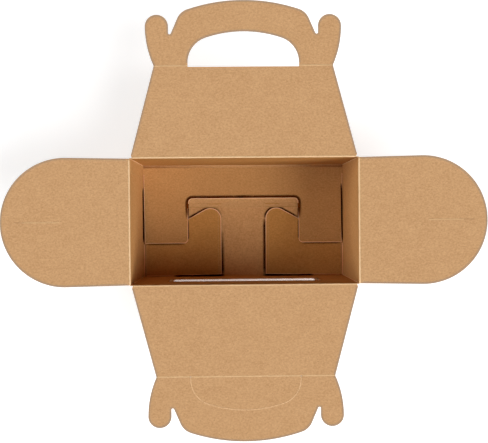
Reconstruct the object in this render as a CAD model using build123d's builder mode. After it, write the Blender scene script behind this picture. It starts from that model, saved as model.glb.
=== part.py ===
from build123d import *
from math import atan, cos, sin, sqrt
import os

# A gable box of kraft board, stood open with its four top flaps laid flat.
# X runs along the box, +Y is the back and Z is up. The origin is at the
# middle of the underside. All lengths are in millimetres.

# Board and box
board = 0.5
box_length = 228.6
box_width = 127.0
rim_height = 114.3
inner_fold_radius = 0.1
edge_flat = 0.1
fold_clearance = 0.2

# Roof panels, which slope up to the ridge when the box is closed
roof_slant = 91.0
roof_end_gap = 1.0
ridge_setback = 25.1
relief_depth = 3.0
relief_width = 1.5

# Handle panels above the ridge, set out from the ends of the ridge
handle_height = 65.4
handle_arch_radius = 175.0
shoulder_setback = 11.9
shoulder_radius = 17.0
notch_setback = 14.7
notch_depth = 13.3
notch_radius = 1.4
ear_radius = 11.5
ear_height = 39.6

# D-shaped finger hole, cut out at the back and left as a flap at the front
finger_half = 55.4
finger_height = 34.3
finger_side = 3.5
finger_arch_radius = 118.0
knife_gap = 0.25
ridge_cutback = 0.7

# Round-ended end flaps
end_side_gap = 0.5
end_flare = 0.8
end_margin = 13.6

# Clearances of the closed box
handle_gap = 0.2
lean_clearance = 0.6
ear_clearance = 0.15

# Window in the front wall, with a clear film glued inside it
window_length = 150.0
window_height = 28.0
window_middle = 59.0
window_corner = 3.0
film_thickness = 0.1
film_margin = 6.0

# Glue tab inside the left wall
tab_width = 14.0
tab_margin = 5.0
tab_angle = 75.0

# Bottom panels, which spring up from the walls' feet and cross in four layers
layer_gap = 0.4
back_run = 3.0
back_taper = 1.6
leg_length = 46.2
leg_corner = 4.6
recess_half = 63.1
tongue_side_gap = 0.3
tongue_base_gap = 0.8
tongue_shoulder = 12.0
tongue_rise_run = 5.9
tongue_overlap = 5.0
tongue_lift = 2.2
tongue_corner = 5.0
hook_run = 4.0
hook_rise = 2.2
hook_inner = 25.3
hook_top = 14.5
hook_radius = 12.3
hook_valley = 70.0
hook_slope = 0.55
hook_front_gap = 2.0
hook_back_gap = 13.0

# Values that follow from the sizes above
half_length = box_length / 2
half_width = box_width / 2
half_board = board / 2
inner_x = half_length - board
inner_y = half_width - board
fold_x = half_length - half_board
fold_y = half_width - half_board
fold_gap = board + fold_clearance
edge_round = (board - edge_flat) / 2
roof_base_half = half_length - roof_end_gap
roof_ridge_half = half_length - ridge_setback
notch_half = roof_ridge_half - notch_setback
shoulder_half = notch_half - shoulder_setback
end_half = half_width + end_flare

# In the closed box the ridge rises until the handles meet, the end flaps lean on
# the sloping ends of the roof, and the ears cross them from the ridge to the notch
ridge_rise = sqrt(roof_slant**2 - (fold_y - (board + handle_gap) / 2) ** 2)
end_lean = atan((fold_x - roof_ridge_half - lean_clearance) / ridge_rise)
slit_width = 2 * board + handle_gap + 2 * ear_clearance
slit_start = (fold_x - roof_ridge_half - lean_clearance) / sin(end_lean)
slit_end = (fold_x - notch_half) / sin(end_lean) + slit_width / 2
end_reach = slit_end + end_margin

# The hooks rise towards the middle, over the front panel and under the back one
hook_level = board + layer_gap
hook_inner_level = hook_level + hook_rise
leg_share = (half_length - hook_run - recess_half) / (half_length - hook_run - hook_inner)
back_level = hook_level + hook_rise * leg_share + board + layer_gap

# The tongue bends up past the hooks, clears the back panel's recess and lies on it
tongue_level = back_level + board + layer_gap
tongue_half = recess_half - tongue_side_gap
tongue_bend = hook_top + tongue_side_gap
recess_top = tongue_bend + tongue_rise_run
tongue_tip = recess_top + tongue_overlap
back_end = recess_top - leg_length

os.makedirs("parts", exist_ok=True)


def fold_plane(x, y, outward_turn):
    """Plane on a top fold's axis, with local Y pointing out over the flap."""
    axis = Plane(origin=(x, y, rim_height))
    return axis.rotated((0, 0, outward_turn))


back_fold = fold_plane(0, fold_y, 0)
front_fold = fold_plane(0, -fold_y, 180)
left_fold = fold_plane(-fold_x, 0, 90)
right_fold = fold_plane(fold_x, 0, -90)
back_ridge = fold_plane(0, fold_y + roof_slant, 0)
front_ridge = fold_plane(0, -fold_y - roof_slant, 180)


def finger_outline(inset):
    """D shape above a ridge, drawn inset from the edge of the finger hole."""
    # The corner arc touches the upright side and the arch
    rise = finger_height - finger_side
    spread = finger_arch_radius - finger_half
    corner = (2 * finger_arch_radius * rise - rise**2 - finger_half**2) / (2 * spread)
    corner_x = finger_half - corner
    arch_y = finger_height - finger_arch_radius
    reach = (finger_arch_radius - inset) / (finger_arch_radius - corner)
    touch_x = corner_x * reach
    touch_y = arch_y + (finger_side - arch_y) * reach
    half = finger_half - inset
    with BuildSketch() as outline:
        with BuildLine():
            Polyline((-half, finger_side), (-half, 0), (half, 0), (half, finger_side))
            TangentArc((half, finger_side), (touch_x, touch_y), tangent=(0, 1))
            ThreePointArc((touch_x, touch_y), (0, finger_height - inset), (-touch_x, touch_y))
            TangentArc((-half, finger_side), (-touch_x, touch_y), tangent=(0, 1))
        make_face()
    return outline.sketch


def handle_outline():
    """Arched band above a ridge, with a notch and a rounded ear at each end."""
    arch_drop = handle_arch_radius - sqrt(handle_arch_radius**2 - shoulder_half**2)
    shoulder = (shoulder_half, handle_height - arch_drop)
    notch = (notch_half, ear_height - notch_depth)
    ear_middle = notch_half + ear_radius
    ear_outer = (ear_middle + ear_radius, ear_height)
    with BuildSketch() as outline:
        with BuildLine():
            RadiusArc((0, handle_height), shoulder, handle_arch_radius)
            Polyline(shoulder, notch, (notch_half, ear_height))
            ThreePointArc((notch_half, ear_height), (ear_middle, ear_height + ear_radius), ear_outer)
            TangentArc(ear_outer, (roof_ridge_half, fold_gap), tangent=(0, -1))
            Polyline((roof_ridge_half, fold_gap), (0, fold_gap), (0, handle_height))
        make_face()
        fillet(outline.vertices().sort_by_distance(shoulder)[0], shoulder_radius)
        fillet(outline.vertices().sort_by_distance(notch)[0], notch_radius)
        mirror(about=Plane.YZ)
    return outline.sketch


def roof_outline():
    """Trapezoid from rim to ridge, its lower corners relieved."""
    slope = (roof_base_half - roof_ridge_half) / roof_slant
    with BuildSketch() as outline:
        with BuildLine():
            Polyline(
                (0, fold_gap),
                (roof_base_half - relief_width, fold_gap),
                (roof_base_half - relief_depth * slope, relief_depth),
                (roof_ridge_half, roof_slant),
                (roof_ridge_half, roof_slant + half_board),
                (0, roof_slant + half_board),
                close=True,
            )
        make_face()
        mirror(about=Plane.YZ)
    return outline.sketch


def end_outline():
    """End flap with nearly parallel sides, a semicircular tip and the ears' slit."""
    base_half = half_width - end_side_gap
    side_end = end_reach - end_half
    with BuildSketch() as outline:
        with BuildLine():
            Polyline(
                (-end_half, side_end),
                (-base_half, fold_gap),
                (base_half, fold_gap),
                (end_half, side_end),
            )
            ThreePointArc((end_half, side_end), (0, end_reach), (-end_half, side_end))
        make_face()
        with Locations((0, (slit_start + slit_end) / 2)):
            SlotOverall(slit_end - slit_start, slit_width, rotation=90, mode=Mode.SUBTRACT)
    return outline.sketch


def lower_face(fold):
    """The plane of a flap's lower face, half a board below its fold."""
    return fold.offset(-half_board)


def ridge_edges(panel, axis):
    """The two long edges of a roof panel at its ridge."""
    return panel.edges().filter_by(Axis.X).group_by(axis)[-1]


# Roof panels and handles
with BuildPart() as back_roof:
    with BuildSketch(lower_face(back_fold)):
        add(roof_outline())
    extrude(amount=board)
    fillet(ridge_edges(back_roof, Axis.Y), edge_round)
    with BuildSketch(lower_face(back_ridge)):
        Rectangle(2 * finger_half, 2 * ridge_cutback)
    extrude(amount=board, mode=Mode.SUBTRACT)

with BuildPart() as front_roof:
    with BuildSketch(lower_face(front_fold)):
        add(roof_outline())
    extrude(amount=board)
    fillet(ridge_edges(front_roof, -Axis.Y), edge_round)

with BuildPart() as back_handle:
    with BuildSketch(lower_face(back_ridge)):
        add(handle_outline())
        add(finger_outline(0), mode=Mode.SUBTRACT)
    extrude(amount=board)

with BuildPart() as front_handle:
    with BuildSketch(lower_face(front_ridge)):
        add(handle_outline())
        add(finger_outline(0), mode=Mode.SUBTRACT)
    extrude(amount=board)

with BuildPart() as finger_flap:
    with BuildSketch(lower_face(front_ridge)):
        add(finger_outline(knife_gap))
        Rectangle(2 * finger_half, 2 * fold_gap, mode=Mode.SUBTRACT)
    extrude(amount=board)

# End flaps
with BuildPart() as left_end_flap:
    with BuildSketch(lower_face(left_fold)):
        add(end_outline())
    extrude(amount=board)

with BuildPart() as right_end_flap:
    with BuildSketch(lower_face(right_fold)):
        add(end_outline())
    extrude(amount=board)

# Bottom panels, each a folded section drawn across the box and cut to its plan
with BuildPart() as back_bottom:
    with BuildSketch(Plane.YZ):
        with BuildLine():
            Polyline(
                (fold_y, 0),
                (half_width - back_run, back_level),
                (back_end, back_level),
                (back_end, back_level + board),
                (half_width - back_run, back_level + board),
                (fold_y, board),
                close=True,
            )
        make_face()
    extrude(amount=half_length, both=True)
    with BuildSketch():
        with BuildLine():
            Polyline(
                (0, half_width),
                (inner_x, half_width),
                (inner_x, inner_y - back_run),
                (inner_x - back_taper, back_end),
                (recess_half, back_end),
                (recess_half, recess_top),
                (0, recess_top),
                close=True,
            )
        make_face()
        mirror(about=Plane.YZ)
    extrude(amount=rim_height, mode=Mode.INTERSECT)
    corners = back_bottom.edges().filter_by(Axis.Z)
    fillet(corners.sort_by_distance((recess_half, back_end, back_level))[0], leg_corner)
    corners = back_bottom.edges().filter_by(Axis.Z)
    fillet(corners.sort_by_distance((-recess_half, back_end, back_level))[0], leg_corner)

tongue_base_half = inner_x - hook_run - tongue_base_gap
with BuildPart() as tongue:
    with BuildSketch(Plane.YZ):
        with BuildLine():
            Polyline(
                (-fold_y, 0),
                (tongue_bend, 0),
                (recess_top, tongue_level),
                (tongue_tip, tongue_level + tongue_lift),
                (tongue_tip, tongue_level + tongue_lift + board),
                (recess_top, tongue_level + board),
                (tongue_bend, board),
                (-fold_y, board),
                close=True,
            )
        make_face()
    extrude(amount=half_length, both=True)
    with BuildSketch() as tongue_plan:
        with BuildLine():
            Polyline(
                (0, -half_width),
                (tongue_base_half, -half_width),
                (tongue_base_half, -inner_y),
                (tongue_half, -tongue_shoulder),
                (tongue_half, tongue_tip),
                (0, tongue_tip),
                close=True,
            )
        make_face()
        mirror(about=Plane.YZ)
        fillet(tongue_plan.vertices().group_by(Axis.Y)[-1], tongue_corner)
    extrude(amount=rim_height, mode=Mode.INTERSECT)

# The hook's rounded top is a fillet where its inner edge meets its slope
slope_turn = atan(hook_slope)
peak_rise = cos(slope_turn) + hook_slope * (1 + sin(slope_turn)) - 1
peak = (hook_inner, hook_top + hook_radius * peak_rise)
valley = (hook_valley, peak[1] - hook_slope * (hook_valley - hook_inner))
with BuildPart() as hook_panels:
    with BuildSketch(Plane.XZ):
        with BuildLine():
            Polyline(
                (fold_x, 0),
                (half_length - hook_run, hook_level),
                (hook_inner, hook_inner_level),
                (hook_inner, hook_inner_level + board),
                (half_length - hook_run, hook_level + board),
                (fold_x, board),
                close=True,
            )
        make_face()
        mirror(about=Plane.YZ)
    extrude(amount=half_width, both=True)
    with BuildSketch() as hook_plan:
        with BuildLine():
            Polyline(
                peak,
                valley,
                (half_length, half_width - hook_back_gap),
                (half_length, -inner_y),
                (hook_inner, hook_front_gap - inner_y),
                close=True,
            )
        make_face()
        fillet(hook_plan.vertices().sort_by_distance(peak)[0], hook_radius)
        fillet(hook_plan.vertices().sort_by_distance(valley)[0], leg_corner)
        mirror(about=Plane.YZ)
    extrude(amount=rim_height, mode=Mode.INTERSECT)

# Body: four walls, the glue tab and the interlocked bottom, all one folded sheet
with BuildPart() as box_body:
    with BuildSketch():
        RectangleRounded(box_length, box_width, board + inner_fold_radius)
        offset(amount=-board, mode=Mode.SUBTRACT)
    extrude(amount=rim_height + half_board)
    rim_face = box_body.faces().sort_by(Axis.Z)[-1]
    fillet(rim_face.edges(), edge_round)
    foot_face = box_body.faces().sort_by(Axis.Z)[0]
    fillet(foot_face.outer_wire().edges(), edge_round)
    with BuildSketch(Plane.XZ.offset(inner_y)):
        with Locations((0, window_middle)):
            RectangleRounded(window_length, window_height, window_corner)
    extrude(amount=board, mode=Mode.SUBTRACT)
    with BuildSketch(Plane.YZ.offset(-inner_x)):
        with Locations((inner_y - tab_width / 2, rim_height / 2)):
            Trapezoid(rim_height - 2 * tab_margin, tab_width, tab_angle, rotation=90)
    extrude(amount=board)
    add(back_bottom.part)
    add(tongue.part)
    add(hook_panels.part)

with BuildPart() as window_film:
    with BuildSketch(Plane.XZ.offset(inner_y - film_thickness)):
        with Locations((0, window_middle)):
            Rectangle(window_length + 2 * film_margin, window_height + 2 * film_margin)
    extrude(amount=film_thickness)

box_body.part.label = "box_body"
export_step(box_body.part, "parts/box_body.step")
window_film.part.label = "window_film"
export_step(window_film.part, "parts/window_film.step")
back_roof.part.label = "back_roof"
export_step(back_roof.part, "parts/back_roof.step")
front_roof.part.label = "front_roof"
export_step(front_roof.part, "parts/front_roof.step")
back_handle.part.label = "back_handle"
export_step(back_handle.part, "parts/back_handle.step")
front_handle.part.label = "front_handle"
export_step(front_handle.part, "parts/front_handle.step")
finger_flap.part.label = "finger_flap"
export_step(finger_flap.part, "parts/finger_flap.step")
left_end_flap.part.label = "left_end_flap"
export_step(left_end_flap.part, "parts/left_end_flap.step")
right_end_flap.part.label = "right_end_flap"
export_step(right_end_flap.part, "parts/right_end_flap.step")
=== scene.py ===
import logging
from dataclasses import astuple, dataclass, replace
from enum import Enum
from math import atan2, cos, pi, radians, sin, tan
from typing import Callable, Sequence, Union

import bmesh
import bpy
from mathutils import Matrix, Vector


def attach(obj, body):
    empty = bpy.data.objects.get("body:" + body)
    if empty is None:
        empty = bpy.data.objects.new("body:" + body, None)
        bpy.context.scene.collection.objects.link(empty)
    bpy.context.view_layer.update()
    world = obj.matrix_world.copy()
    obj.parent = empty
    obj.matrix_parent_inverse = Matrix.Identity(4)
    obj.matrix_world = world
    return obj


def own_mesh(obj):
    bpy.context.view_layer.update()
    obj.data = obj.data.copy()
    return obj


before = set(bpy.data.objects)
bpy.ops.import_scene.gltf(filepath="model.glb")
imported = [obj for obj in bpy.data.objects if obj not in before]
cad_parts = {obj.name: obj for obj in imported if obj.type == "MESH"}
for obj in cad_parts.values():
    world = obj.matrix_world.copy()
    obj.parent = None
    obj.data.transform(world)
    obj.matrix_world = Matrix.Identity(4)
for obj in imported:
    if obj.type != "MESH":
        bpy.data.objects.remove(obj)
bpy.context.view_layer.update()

MM = 0.001
FAR = 1000.0
ARC_STEPS = 10
NOISE_LOW = 0.3
NOISE_HIGH = 0.7
COVER = "cover"

Rgb = tuple[float, float, float]
Point = tuple[float, float]
Place = tuple[float, float, float]
Level = Callable[[float, float], float]
Socket = bpy.types.NodeSocket
Feed = Union[Socket, float, tuple]

log = logging.getLogger("gable_box")


def paint(red: int, green: int, blue: int) -> Rgb:
    """Turns an 8-bit display colour into the linear one that shaders use.

    Args:
        red: Red, 0 to 255.
        green: Green, 0 to 255.
        blue: Blue, 0 to 255.

    Returns:
        Linear red, green and blue.
    """
    shares = [value / 255 for value in (red, green, blue)]
    linear = [s / 12.92 if s <= 0.04045 else ((s + 0.055) / 1.055) ** 2.4 for s in shares]
    return linear[0], linear[1], linear[2]


@dataclass(frozen=True)
class BoxPlan:
    """Main sizes of the box in millimetres, as the CAD model has them."""

    board: float = 0.5
    half_length: float = 114.3
    half_width: float = 63.5
    rim: float = 114.3
    fold_x: float = 114.05
    fold_y: float = 63.25
    ridge_y: float = 154.25
    roof_base_half: float = 113.3
    roof_ridge_half: float = 89.2
    end_base_half: float = 63.0
    finger_half: float = 55.4
    knife_gap: float = 0.25
    slit_width: float = 1.5
    slit_start: float = 70.1
    slit_end: float = 115.06


@dataclass(frozen=True)
class BottomPlan:
    """Sizes of the interlocked bottom panels in millimetres, as the CAD model has them."""

    inner_x: float = 113.8
    inner_y: float = 63.0
    hook_foot: float = 110.3
    hook_inner: float = 25.3
    hook_front_gap: float = 2.0
    hook_peak: float = 23.0
    hook_slope: float = 0.55
    hook_radius: float = 12.3
    hook_level: float = 0.9
    hook_rise: float = 2.2
    leg_level: float = 3.02
    leg_end: float = -25.5
    leg_corner: float = 4.6
    leg_taper: float = 1.6
    recess_half: float = 63.1
    recess_top: float = 20.7
    tongue_half: float = 62.8
    tongue_bend: float = 14.8
    tongue_tip: float = 25.7
    tongue_level: float = 3.92
    tongue_lift: float = 2.2

    def hook_back(self, x: float) -> float:
        """Y of a hook's sloping back edge at a distance from the middle."""
        return self.hook_peak - self.hook_slope * (x - self.hook_inner)


PLAN = BoxPlan()
BOTTOM = BottomPlan()


class Side(Enum):
    """Halves of the box, and the way that X runs to each."""

    RIGHT = 1.0
    LEFT = -1.0

    @property
    def word(self) -> str:
        """The side's name, as the pieces' names have it."""
        return self.name.lower()


class Hinge(Enum):
    """Folds of the sheet: a point on the axis, and the way out over the flap."""

    BACK_RIM = ((0.0, PLAN.fold_y, PLAN.rim), (0.0, 1.0))
    FRONT_RIM = ((0.0, -PLAN.fold_y, PLAN.rim), (0.0, -1.0))
    LEFT_RIM = ((-PLAN.fold_x, 0.0, PLAN.rim), (-1.0, 0.0))
    RIGHT_RIM = ((PLAN.fold_x, 0.0, PLAN.rim), (1.0, 0.0))
    BACK_RIDGE = ((0.0, PLAN.ridge_y, PLAN.rim), (0.0, 1.0))
    FRONT_RIDGE = ((0.0, -PLAN.ridge_y, PLAN.rim), (0.0, -1.0))

    @property
    def origin(self) -> Vector:
        """Point on the axis, in millimetres."""
        return Vector(self.value[0])

    @property
    def outward(self) -> Vector:
        """Direction out over the flap."""
        return Vector((*self.value[1], 0.0))

    @property
    def along(self) -> Vector:
        """Direction along the fold."""
        return Vector((0.0, 0.0, 1.0)).cross(self.outward)


@dataclass(frozen=True)
class Zone:
    """Part of the sheet, in millimetres out from the box's middle along X and Y, and by height.

    The smallest Y, where it is given, keeps only the part behind it.
    """

    x_low: float
    x_high: float
    y_low: float
    y_high: float
    z_low: float = -FAR
    z_high: float = FAR
    y_least: float = -FAR


@dataclass(frozen=True)
class BoardFinish:
    """Colours and strengths of one look of the kraft board.

    Cut edges show where edge_share is over 0, apart from the spared zones. The palest pulp is
    smoother by polish than the deepest. edge_reach and relief are in millimetres.
    """

    name: str
    pale: Rgb = paint(215, 171, 125)
    deep: Rgb = paint(187, 142, 97)
    edge: Rgb = paint(146, 132, 118)
    edge_share: float = 0.0
    edge_reach: float = 3.0
    spared: tuple[Zone, ...] = ()
    # A paler line painted in the given zones, as painted light
    mark: Rgb = paint(224, 185, 137)
    painted_light_zones: tuple[Zone, ...] = ()
    # Zones whose colour is multiplied as painted light or painted shade
    painted_light_and_shade: tuple[tuple[Zone, Rgb], ...] = ()
    shive: Rgb = paint(126, 92, 60)
    shive_share: float = 0.35
    cloud: float = 0.17
    roughness: float = 0.88
    polish: float = 0.1
    shine: float = 0.1
    bump: float = 0.25
    relief: float = 0.06


@dataclass(frozen=True)
class FilmFinish:
    """Clear film or glue, which is hazy when it is seen at a slant.

    The shares multiply its alpha, from a faced view to a grazing one, and its roughness, from
    one end of the streaks' range to the other.
    """

    name: str
    tint: Rgb
    alpha: float
    roughness: float
    alpha_shares: Point = (0.25, 1.25)
    roughness_shares: Point = (0.6, 1.6)
    haze_start: float = 0.75
    smear: float = 0.1
    refraction: float = 1.5


@dataclass(frozen=True)
class ShadeFinish:
    """Painted shade beside a raised edge or in an open gap, which a noise makes a little uneven."""

    name: str
    deep: Rgb
    pale: Rgb
    roughness: float = 0.95
    shade_noise_cover: float = 0.85


@dataclass(frozen=True)
class TableFinish:
    """The pale table, and how much whiter the camera and reflections see it."""

    name: str = "pale_table"
    tint: Rgb = (0.78, 0.78, 0.78)
    roughness: float = 0.9
    lift: float = 0.55


RIM_ZONE = Zone(0.0, 112.4, 60.0, 66.4)
RIDGE_ZONE = Zone(0.0, 88.0, 151.6, 157.6)
CUT_ZONE = Zone(0.0, 57.8, 152.0, 191.5)
SIDE_RIM_ZONE = Zone(112.0, 117.6, 0.0, 62.2)
SLIT_ZONE = Zone(180.0, 233.0, 0.0, 3.5)
SLIT_LINE = Zone(184.0, 219.0, 0.0, 0.38)
FOOTPRINT = Zone(-1.0, PLAN.half_length, -1.0, PLAN.half_width)
INSIDE_ZONE = Zone(0.0, 114.1, 0.0, 63.3, z_low=0.1)
LONG_WALL_ZONE = Zone(0.0, 113.95, 62.95, 63.2)
HOOK_ZONE = Zone(25.2, 113.9, 0.0, 62.95, z_low=1.3, z_high=3.51)
HOOK_TIP_ZONE = Zone(25.2, 29.4, 0.0, 62.95, z_low=3.53, z_high=3.7)
TONGUE_ZONE = Zone(0.0, 63.0, 0.0, 62.95, z_low=0.4, z_high=0.6)
TONGUE_TIP_ZONE = Zone(0.0, 63.0, 0.0, 26.0, z_low=3.8, z_high=8.0)
SLOPE_ZONE = Zone(0.0, 25.2, 14.7, 20.8, z_low=0.6, z_high=3.8, y_least=0.0)
SLOPE_SIDE_ZONE = Zone(25.2, 63.0, 14.7, 20.8, z_low=1.3, z_high=3.1, y_least=0.0)
SLOPE_END_ZONE = Zone(41.0, 63.0, 14.7, 20.8, z_low=3.1, z_high=3.51, y_least=0.0)

# Painted shade darkens and deepens the inside, the long walls and the hooks; painted light brightens
# the tongue and its slopes
INSIDE_PAINTED_SHADE = (0.945, 0.85, 0.645)
WALL_PAINTED_SHADE = (0.93, 0.85, 0.68)
HOOK_PAINTED_SHADE = (1.0, 0.93, 0.72)
TONGUE_PAINTED_LIGHT = (1.15, 1.2, 1.36)
SLOPE_PAINTED_LIGHT = (1.15, 1.29, 1.89)

CUT_SHARE = 0.85
PRESSED_CLOUD = 0.35
ROOF = BoardFinish("roof_board", edge_share=CUT_SHARE, spared=(RIM_ZONE, RIDGE_ZONE))
BACK_HANDLE = BoardFinish("back_handle_board", edge_share=CUT_SHARE, spared=(RIDGE_ZONE,))
FRONT_HANDLE = BoardFinish("front_handle_board", edge_share=CUT_SHARE, spared=(RIDGE_ZONE, CUT_ZONE))
END_FLAP = BoardFinish("end_flap_board", edge_share=CUT_SHARE, spared=(SIDE_RIM_ZONE, SLIT_ZONE))
# The slit lips paint a pale line down each slit, as painted light coming through it
LIP = BoardFinish("slit_lip", painted_light_zones=(SLIT_LINE,))
# Paler than the board: a painted highlight along the finger flap's D cut
CUT_LIP = BoardFinish("cut_lip", paint(248, 208, 162), paint(212, 169, 123))
BODY = BoardFinish(
    "wall_board",
    # Painted highlight: a pale line along the body's edges and folds
    edge=paint(232, 194, 152),
    edge_share=0.3,
    edge_reach=0.5,
    painted_light_and_shade=(
        (INSIDE_ZONE, INSIDE_PAINTED_SHADE),
        (LONG_WALL_ZONE, WALL_PAINTED_SHADE),
        (HOOK_ZONE, HOOK_PAINTED_SHADE),
        (HOOK_TIP_ZONE, HOOK_PAINTED_SHADE),
        (TONGUE_ZONE, TONGUE_PAINTED_LIGHT),
        (TONGUE_TIP_ZONE, TONGUE_PAINTED_LIGHT),
        (SLOPE_ZONE, TONGUE_PAINTED_LIGHT),
        (SLOPE_SIDE_ZONE, SLOPE_PAINTED_LIGHT),
        (SLOPE_END_ZONE, SLOPE_PAINTED_LIGHT),
    ),
)
FOOT = BoardFinish("foot_board", paint(214, 165, 112), paint(184, 134, 84))
# Painted highlight: pale beads where cut edges and the side feet catch the light
EDGE_HIGHLIGHT = BoardFinish(
    "pale_edge_highlight", paint(255, 206, 162), paint(243, 190, 146), cloud=PRESSED_CLOUD
)
# Paler than the board, partly as stretched pulp and partly as a painted highlight; the dim copy is
# dimmer
CREASE_PULP_AND_HIGHLIGHT = BoardFinish(
    "crease_pulp_and_highlight", paint(248, 213, 168), paint(234, 194, 147), cloud=PRESSED_CLOUD
)
CREASE_PULP_AND_DIM_HIGHLIGHT = BoardFinish(
    "crease_pulp_and_dim_highlight", paint(228, 191, 146), paint(214, 176, 130), cloud=PRESSED_CLOUD
)
FILM = FilmFinish("clear_film", (0.84, 0.62, 0.46), alpha=0.38, roughness=0.12)
GLUE = FilmFinish("clear_glue", (0.86, 0.82, 0.74), alpha=0.4, roughness=0.3)
# Painted shade: brown beside raised panel edges, near black in open gaps where there is only shade
SHADE = ShadeFinish("painted_crack_shade", paint(92, 42, 6), paint(118, 60, 14))
GAP = ShadeFinish("painted_gap_shade", paint(40, 14, 2), paint(62, 28, 6))
TABLE = TableFinish()


class Wires:
    """Places and joins the nodes of one tree."""

    def __init__(self, tree: bpy.types.NodeTree) -> None:
        """Takes the tree that the nodes go into."""
        self.tree = tree

    def add(self, kind: str, **values: object) -> bpy.types.Node:
        """Adds a node.

        Args:
            kind: The node's type.
            values: Properties to set on it.

        Returns:
            The node.
        """
        node = self.tree.nodes.new(kind)
        for key, value in values.items():
            setattr(node, key, value)
        return node

    def feed(self, value: Feed, socket: Socket) -> None:
        """Links a socket to an input, or sets the input to a plain value.

        Args:
            value: Socket, number or colour.
            socket: The input.
        """
        if isinstance(value, bpy.types.NodeSocket):
            self.tree.links.new(value, socket)
        else:
            socket.default_value = value

    def effect(self, group: bpy.types.NodeTree, **values: float) -> bpy.types.Node:
        """Adds a shared group with this material's own values.

        Args:
            group: The group.
            values: Its inputs by name.

        Returns:
            The group's node.
        """
        node = self.add("ShaderNodeGroup", node_tree=group)
        for name, value in values.items():
            self.feed(value, node.inputs[name])
        return node

    def maths(self, operation: str, first: Feed, second: Feed = 0.0) -> Socket:
        """Adds a maths node.

        Args:
            operation: The operation's name.
            first: Socket or number.
            second: Socket or number, where the operation takes two.

        Returns:
            The result.
        """
        node = self.add("ShaderNodeMath", operation=operation)
        self.feed(first, node.inputs[0])
        self.feed(second, node.inputs[1])
        return node.outputs[0]

    def span(
        self, value: Socket, low: Feed, high: Feed, start: float = 0.0, end: float = 1.0
    ) -> Socket:
        """Maps low..high to start..end and holds the value within them.

        Args:
            value: Socket to map.
            low: Value that becomes start.
            high: Value that becomes end.
            start: Result at low.
            end: Result at high.

        Returns:
            The mapped value.
        """
        node = self.add("ShaderNodeMapRange", clamp=True)
        names = ("Value", "From Min", "From Max", "To Min", "To Max")
        for name, given in zip(names, (value, low, high, start, end)):
            self.feed(given, node.inputs[name])
        return node.outputs["Result"]

    def grade(self, share: Feed, first: Feed, second: Feed, blend: str = "MIX") -> Socket:
        """Mixes two colours, each a socket or a plain colour.

        Args:
            share: Share of the second colour.
            first: Colour where share is 0.
            second: Colour where share is 1.
            blend: Way the second goes over the first.

        Returns:
            The mixed colour.
        """
        node = self.add("ShaderNodeMix", data_type="RGBA", blend_type=blend)
        self.feed(share, node.inputs[0])
        # Inputs 6 and 7 and output 2 are the colours of a node that can also mix numbers
        for value, socket in ((first, node.inputs[6]), (second, node.inputs[7])):
            self.feed((*value, 1.0) if isinstance(value, tuple) else value, socket)
        return node.outputs[2]

    def place(self) -> Socket:
        """Adds the place on the sheet as it lies at rest, in metres."""
        return self.add("ShaderNodeTexCoord").outputs["Object"]

    def noise(self, fineness: Rgb, detail: float) -> Socket:
        """Adds a noise with its own fineness along X, Y and Z.

        Args:
            fineness: Features to a metre along each axis.
            detail: Octaves of finer noise.

        Returns:
            The noise value.
        """
        mapping = self.add("ShaderNodeMapping")
        self.feed(self.place(), mapping.inputs["Vector"])
        self.feed(fineness, mapping.inputs["Scale"])
        texture = self.add("ShaderNodeTexNoise")
        self.feed(mapping.outputs["Vector"], texture.inputs["Vector"])
        self.feed(1.0, texture.inputs["Scale"])
        self.feed(detail, texture.inputs["Detail"])
        return texture.outputs[0]


def number_group(
    name: str, inputs: dict[str, float], outputs: Sequence[str]
) -> tuple[Wires, bpy.types.Node, bpy.types.Node]:
    """Starts a shader node group whose sockets are numbers.

    Args:
        name: The group's name.
        inputs: Each input's name and usual value.
        outputs: Each output's name.

    Returns:
        The group's wires, and its input and output nodes.
    """
    group = bpy.data.node_groups.new(name, "ShaderNodeTree")
    for label, usual in inputs.items():
        socket = group.interface.new_socket(label, in_out="INPUT", socket_type="NodeSocketFloat")
        socket.default_value = usual
    for label in outputs:
        group.interface.new_socket(label, in_out="OUTPUT", socket_type="NodeSocketFloat")
    wires = Wires(group)
    return wires, wires.add("NodeGroupInput"), wires.add("NodeGroupOutput")


def fibre_group() -> bpy.types.NodeTree:
    """Pulp of kraft board: clouds, mottle, crossed fibres and dark shives.

    Returns:
        A group with outputs Tone, Shive and Height.
    """
    wires, given, result = number_group("kraft_fibres", {"Cloud": 0.35}, ("Tone", "Shive", "Height"))
    cloud = wires.span(wires.noise((70.0, 100.0, 100.0), 3.0), NOISE_LOW, NOISE_HIGH)
    mottle = wires.span(wires.noise((430.0, 560.0, 560.0), 2.0), 0.34, 0.66)
    long_fibre = wires.noise((330.0, 2600.0, 2600.0), 1.0)
    cross_fibre = wires.noise((2200.0, 420.0, 900.0), 1.0)
    fibre = wires.span(wires.maths("ADD", long_fibre, cross_fibre), 0.8, 1.2)
    both = wires.maths("ADD", fibre, mottle)
    tone = wires.add("ShaderNodeMix", data_type="FLOAT")
    wires.feed(given.outputs["Cloud"], tone.inputs[0])
    wires.feed(wires.maths("MULTIPLY", both, 0.5), tone.inputs[2])
    wires.feed(cloud, tone.inputs[3])
    wires.feed(tone.outputs[0], result.inputs["Tone"])
    shive = wires.span(wires.noise((700.0, 1900.0, 1900.0), 0.0), 0.74, 0.8)
    wires.feed(shive, result.inputs["Shive"])
    wires.feed(both, result.inputs["Height"])
    return wires.tree


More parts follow.
